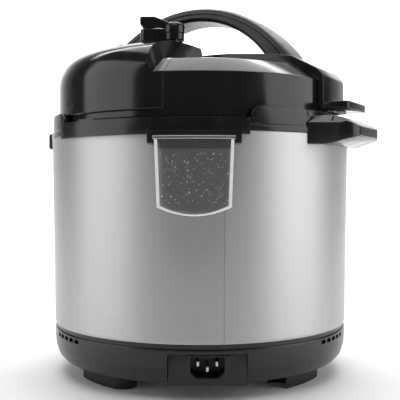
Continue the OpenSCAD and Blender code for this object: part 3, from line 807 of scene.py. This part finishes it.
def make_strap():
    """Strap across the lid with an ear at each end."""
    bm = prism(strap_outline(), -STRAP_HALF, STRAP_HALF, "Y", soft=1.6)
    for side in (-1, 1):
        x = side * (EAR_END + EAR_START) / 2
        outline = rectangle(x, 0, EAR_END - EAR_START, EAR_WIDTH, 5)
        merge(bm, prism(outline, STRAP_LOW, EAR_TOP, "Z", soft=0.9))
    bmesh.ops.rotate(bm, matrix=turned_by(HANDLE_TURN).to_3x3(), verts=bm.verts)
    piece("handle_strap", bm, GLOSS, "lid", ("lid_strap",))


GRIP_END = 58.0  # degrees from the top of the arch to the ends inside the strap
GRIP_STEPS = 96
HOLE_R = 87.6  # the arch's opening has a smaller radius than its outside
HOLE_DROP = GRIP_R - GRIP_T - HOLE_R  # from the opening's centre down to the arch's


def hole_radius(a):
    """Distance from the arch's centre to its opening in a direction."""
    return HOLE_DROP * math.cos(a) + math.sqrt(HOLE_R**2 - (HOLE_DROP * math.sin(a)) ** 2)


def strap_middle(x):
    """Height halfway through the strap's thickness, which is level up to x = 88 and then falls."""
    return 258.5 if x < 88 else 258.5 - (x - 88) * 0.53


def swept_grip(section, flared=False):
    """(sideways, radius) section swept along the arch until both ends are inside the strap. A flared
    section's inner points follow the opening."""
    bm = bmesh.new()
    middle = GRIP_R - GRIP_T / 2 - 1
    rows = []
    for k in range(GRIP_STEPS + 1):
        angle = -GRIP_END + 2 * GRIP_END * k / GRIP_STEPS
        a = math.radians(angle)
        widen = 1 + 0.12 * smoothstep((abs(angle) - 26) / 24)
        deeper = GRIP_R - GRIP_T - hole_radius(a)
        row = []
        for y, r in section:
            if flared and r < middle:
                r -= deeper
            x, z = r * math.sin(a), GRIP_Z + r * math.cos(a)
            row.append(bm.verts.new((x, y * widen, max(z, strap_middle(abs(x))))))
        rows.append(row)
    tube(bm, rows)
    bmesh.ops.rotate(bm, matrix=turned_by(HANDLE_TURN).to_3x3(), verts=bm.verts)
    return bm


def make_grip():
    """Upper and lower half of the grip, with a narrow groove between them."""
    out, half = GRIP_R, GRIP_HALF
    split = out - GRIP_T / 2
    upper = [(-half, split + 0.3, 0.4), (half, split + 0.3, 0.4), (half, out - 1.6, 2.4)]
    upper += [(half - 5, out, 4), (5 - half, out, 4), (-half, out - 1.6, 2.4)]
    piece("grip_top", swept_grip(rounded(upper)), GRIP_UP, "lid", ("grip_upper",))
    inner = out - GRIP_T
    step, neck = split - 0.35, half - 1.6
    lower = [(half - 3, inner, 2.5), (half, inner + 2.2, 2), (half, step, 0.4), (neck, step)]
    lower += [(neck, split + 0.5), (-neck, split + 0.5), (-neck, step)]
    lower += [(-half, step, 0.4), (-half, inner + 2.2, 2), (3 - half, inner, 2.5)]
    bm = swept_grip(rounded(lower), flared=True)
    piece("grip_underside", bm, GRIP_UNDER, "lid", ("grip_lower",))


FLOAT_PLACE = (-62, -60, 0)


def make_float_guide():
    """Small ring that guides the float pin through the valve cover."""
    bm = turned(rounded([(3.0, 266), (6.4, 266), (5.6, 269.6, 0.8), (3.6, 270.2, 0.5)]), columns=48)
    bmesh.ops.translate(bm, vec=FLOAT_PLACE, verts=bm.verts)
    piece("float_guide", bm, GLOSS, "lid")


# ---------------------------------------------------------------- release knob

KNOB_PLACE = Vector((-21, -50, 0))
LEVER = [(-27.6, 288.6, 2), (-27.6, 294.9, 1.6), (-16, 294.9, 3), (-4, 290.3), (-4, 286)]
LEVER += [(-14, 286.4, 2), (-24, 285.4, 2)]


def make_knob():
    """Cap with a finger lever and an outlet barrel, hollow where it sits on the weight."""
    cap = [(0, 290.4), (5.4, 290.3, 1.5), (8.0, 289.2, 1.6), (8.8, 286.4, 1.4), (8.8, 282, 0.6)]
    cap += [(8.3, 281.4, 0.5), (8.3, 276.4, 0.8), (7.8, 275.5, 0.4), (6.7, 275.5), (6.7, 287.3)]
    bm = turned(rounded(cap + [(0, 287.3)], steps=4), columns=96)
    boss = [(-27.4, -5.6, 5.2), (-6, -5.6), (-6, 5.6), (-27.4, 5.6, 5.2)]
    merge(bm, prism(rounded(boss, steps=8), 275.5, 284.9, "Z", soft=0.6))
    merge(bm, prism(rounded(LEVER), -5.5, 5.5, "Y", soft=0.9))
    bmesh.ops.translate(bm, vec=KNOB_PLACE, verts=bm.verts)
    piece("knob_cap", bm, GLOSS, "knob", ("release_knob",))


# ---------------------------------------------------------------- cup

CUP_FACE_R = 147.6  # inside of the cup's rear wall
CUP_SHIFT = ((CUP_LOW.x + CUP_HIGH.x) / 2, 0, 0)
DROPS = 150
DROP_LIFT = 0.5  # height of a drop over its radius


def drop(bm, place, size, outward):
    """Low rounded water drop on a wall."""
    rings, around = 4, 12
    side = Vector((-outward.y, outward.x, 0))
    up = Vector((0, 0, 1))
    tip = bm.verts.new(place + outward * size * DROP_LIFT)
    before = [tip] * around
    for i in range(1, rings + 1):
        t = i / rings * math.pi / 2
        row = []
        for k in range(around):
            a = 2 * math.pi * k / around
            sag = 1.15 if math.sin(a) < 0 else 0.95  # a drop hangs down a little
            flat = side * math.cos(a) + up * math.sin(a) * sag
            raised = outward * size * DROP_LIFT * math.cos(t)
            row.append(bm.verts.new(place + flat * size * math.sin(t) + raised))
        for k in range(around):
            j = (k + 1) % around
            if i == 1:
                bm.faces.new((tip, row[k], row[j]))
            else:
                bm.faces.new((before[k], row[k], row[j], before[j]))
        before = row
    bm.faces.new(before)


def make_drops():
    """Condensed water on the inside of the cup's rear wall, drawn opaque white: the drops' shapes are
    real, their white is painted highlight for the glints they catch.
    """
    rng = random.Random(41)
    bm = bmesh.new()
    placed = []
    while len(placed) < DROPS:
        x = rng.uniform(-23, 23)
        z = rng.uniform(CUP_LOW.z + 9, CUP_HIGH.z - 12)
        size = rng.choice((0.25, 0.3, 0.35, 0.45, 0.5, 0.8)) * rng.uniform(0.8, 1.2)
        if any((x - a) ** 2 + (z - b) ** 2 < (size + c + 0.3) ** 2 for a, b, c in placed):
            continue
        placed.append((x, z, size))
        angle = math.degrees(math.asin(x / CUP_FACE_R))
        inward = -at_angle(1, angle)
        drop(bm, at_angle(CUP_FACE_R - 0.02, angle, z), size, inward)
    bmesh.ops.translate(bm, vec=CUP_SHIFT, verts=bm.verts)
    piece("cup_water", bm, DROP_GLINT, "cup", angle=60)


def cup_edge(inset, lift):
    """Outline of the cup's rear wall in (x, z), from its upper left corner round to its right."""
    wide, narrow = 27.8 - inset, 26 - inset
    low, sag = CUP_LOW.z + lift, 6.0
    path = [(-wide, CUP_HIGH.z - 2.6), (-narrow - 0.1, low + sag + 3)]
    path += [(narrow * k / 10, low + sag * (k / 10) ** 2) for k in range(-10, 11)]
    return path + [(narrow + 0.1, low + sag + 3), (wide, CUP_HIGH.z - 2.6)]


def make_cup_edge():
    """Thick white edge around the clear rear wall, with two thin white lines along its rim: painted
    highlight for the light that the clear plastic's edges and rim catch.
    """
    bm = bmesh.new()
    rows = []
    # each row goes round the edge's section, as (x, z, radius)
    for (x_out, z_out), (x_in, z_in) in zip(cup_edge(0.1, 0.4), cup_edge(2.3, 1.6)):
        row = []
        for x, z, r in (
            (x_out, z_out, 149.1),
            (x_out, z_out, 149.7),
            ((x_out + x_in) / 2, (z_out + z_in) / 2, 149.95),
            (x_in, z_in, 149.6),
            (x_in, z_in, 149.1),
        ):
            row.append(bm.verts.new(at_angle(r, math.degrees(math.asin(x / r)), z)))
        rows.append(row)
    tube(bm, rows)
    for low, high in ((189.9, 190.4), (191.4, 192.0)):
        rim = turned([(149.2, low), (149.95, low), (149.95, high), (149.2, high)], -11, 11, 24)
        merge(bm, rim)
    bmesh.ops.translate(bm, vec=CUP_SHIFT, verts=bm.verts)
    piece("cup_edge", bm, CUP_EDGE_HIGHLIGHT, "cup", angle=50)


def make_cup():
    """Clear cup with a painted highlight along its edge and a dark band inside its rim."""
    refined("condensation_cup", "cup_body", CLEAR, "cup", 0.6, 30)
    make_cup_edge()
    inner, outer, low, high = 132.6, 133.6, 184.0, 189.4
    corners = ((inner, low), (inner, high), (outer, high), (outer, low))
    band = turned(corners, -11.2, 11.2, 24)
    bmesh.ops.translate(band, vec=CUP_SHIFT, verts=band.verts)
    piece("cup_band", band, PANEL, "cup")
    make_drops()


# ---------------------------------------------------------------- sensor spring


def make_sensor_coil():
    """Coil under the sensor."""
    low, high = node_mm("sensor_spring")
    middle = (low + high) / 2
    wire_r, turns, press = 0.45, 4, 2.5
    radius = (high.x - low.x) / 2 - wire_r
    per_turn, sides = 32, 10
    up = Vector((0, 0, 1))
    bm = bmesh.new()
    rows = []
    for k in range(turns * per_turn + 1):
        a = 2 * math.pi * k / per_turn
        out = Vector((math.cos(a), math.sin(a), 0))
        rise = (high.z - low.z - 2 * wire_r) * k / (turns * per_turn)
        core = Vector((middle.x, middle.y, low.z + wire_r + rise)) + out * radius
        row = []
        for j in range(sides):
            b = 2 * math.pi * j / sides
            row.append(bm.verts.new(core + (out * math.cos(b) + up * math.sin(b)) * wire_r))
        rows.append(row)
    tube(bm, rows)
    coil = piece("sensor_coil", bm, ZINC, "base", ("sensor_spring",))
    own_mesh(coil)


# ---------------------------------------------------------------- build


def build():
    """Makes every piece, each riding on its CAD body."""
    make_base()
    make_feet()
    make_drum()
    make_collar()
    make_lid_cover()
    make_valve_cover()
    make_slot_shadow()
    make_float_guide()
    make_strap()
    make_grip()
    make_knob()
    make_cup()
    make_sensor_coil()
    refined("inlet_socket", "inlet", SOCKET, "base", 0.7)
    refined("inlet_pins", "inlet_blades", NICKEL, "base", 0.35)
    refined("rear_gutter", "gutter", COLLAR, "base", 0.6)
    refined("side_handle_right", "handle_right", COLLAR, "base", 0.9)
    refined("side_handle_left", "handle_left", COLLAR, "base", 0.9)
    refined("panel_housing", "panel", PANEL, "base", 1.2)
    refined("display_lens", "lens", SMOKE, "base", 0.4)
    for i in range(1, 9):
        refined(f"button_{i}", f"key_{i}", KEYS, f"button_body_{i}", 0.5)


build()

CARRIED = {
    "base_plate": ZINC,
    "base_screws": ZINC,
    "side_handle_screws": ZINC,
    "outer_pot": ALUMINIUM,
    "lock_ring": ZINC,
    "insulation_sleeve": ALUMINIUM,
    "heating_plate": ALUMINIUM,
    "element_terminals": NICKEL,
    "sensor_bracket": ZINC,
    "sensor_button": ALUMINIUM,
    "support_bracket": ZINC,
    "pressure_switch": PANEL,
    "thermal_fuse": CERAMIC,
    "power_board": BOARD,
    "wiring_harness": WIRE,
    "control_board": BOARD,
    "display_module": PANEL,
    "inner_pot": POT_STEEL,
    "sealing_ring": SILICONE,
    "grip_bolts": ZINC,
    "lid_liner": LID_STEEL,
    "lid_screws": ZINC,
    "seal_rack": ZINC,
    "vent_pipe": NICKEL,
    "vent_filter": LID_STEEL,
    "valve_weight": NICKEL,
    "float_pin": RED,
    "float_gasket": SILICONE,
}
for name, material in CARRIED.items():
    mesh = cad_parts[name].data
    mesh.materials.clear()
    mesh.materials.append(material)

# ---------------------------------------------------------------- floor, light, camera

scene = bpy.context.scene


def pale_paper(name, tone, roughness):
    """Even surface with hardly any change of tone."""
    material, bsdf = shader(name, (tone,) * 3, roughness)
    cloud = noise(material, 3, 2.0)
    tinted(material, bsdf, cloud, (tone * 0.99,) * 3, (tone,) * 3)
    return material


def make_floor():
    """Pale floor that curves up into a backdrop."""
    bm = bmesh.new()
    front, bend, bend_r, top = -3, 1.6, 0.9, 3.2
    path = [(front, 0), (bend, 0)]
    for a in (0.3, 0.6, 0.9, 1.2, 1.5):
        path.append((bend + bend_r * math.sin(a), bend_r - bend_r * math.cos(a)))
    path.append((bend + bend_r, top))
    rows = [[bm.verts.new((x, y, z)) for y, z in path] for x in (-4, 4)]
    for j in range(len(path) - 1):
        bm.faces.new((rows[0][j], rows[1][j], rows[1][j + 1], rows[0][j + 1]))
    mesh = bpy.data.meshes.new("floor")
    bm.to_mesh(mesh)
    bm.free()
    for polygon in mesh.polygons:
        polygon.use_smooth = True
    mesh.materials.append(pale_paper("floor_paper", 0.9, 0.7))
    floor = bpy.data.objects.new("floor", mesh)
    scene.collection.objects.link(floor)
    return floor


def softbox(name, place, target, size, power):
    """Rectangular lamp at a place in metres, turned to a target."""
    light = bpy.data.lights.new(name, "AREA")
    light.shape = "RECTANGLE"
    light.size, light.size_y = size
    light.energy = power
    lamp = bpy.data.objects.new(name, light)
    lamp.location = place
    aim = Vector(target) - Vector(place)
    lamp.rotation_euler = aim.to_track_quat("-Z", "Y").to_euler()
    scene.collection.objects.link(lamp)
    return lamp


MIDDLE = (0, 0, 0.13)  # middle of the cooker, in metres
make_floor()
softbox("left_softbox", (-1.0, -0.3, 0.45), MIDDLE, (0.95, 1.1), 5)
softbox("right_softbox", (1.0, -0.3, 0.45), MIDDLE, (0.95, 1.1), 6.5)
softbox("front_softbox", (0, -1.3, 2.2), MIDDLE, (1.6, 0.8), 10)
softbox("top_softbox", (0, 0.1, 1.3), (0, 0, 0.2), (1.2, 1.0), 9)
softbox("back_softbox", (0, 1.0, 1.6), (0, 2.2, 0.3), (2.5, 1.0), 70)

world = bpy.data.worlds.new("studio")
world.use_nodes = True
background = world.node_tree.nodes["Background"]
background.inputs["Color"].default_value = (1, 1, 1, 1)
background.inputs["Strength"].default_value = 0.07
scene.world = world
scene.view_settings.view_transform = "Standard"
scene.view_settings.look = "None"

CAMERA_DOWN = 0.93  # degrees below the horizon
camera_data = bpy.data.cameras.new("camera")
camera_data.lens = 66.6
camera_data.sensor_width = 36
camera = bpy.data.objects.new("camera", camera_data)
camera.location = (0.0, -0.656, 0.156)
camera.rotation_euler = (math.radians(90 - CAMERA_DOWN), 0, 0)
scene.collection.objects.link(camera)
scene.camera = camera
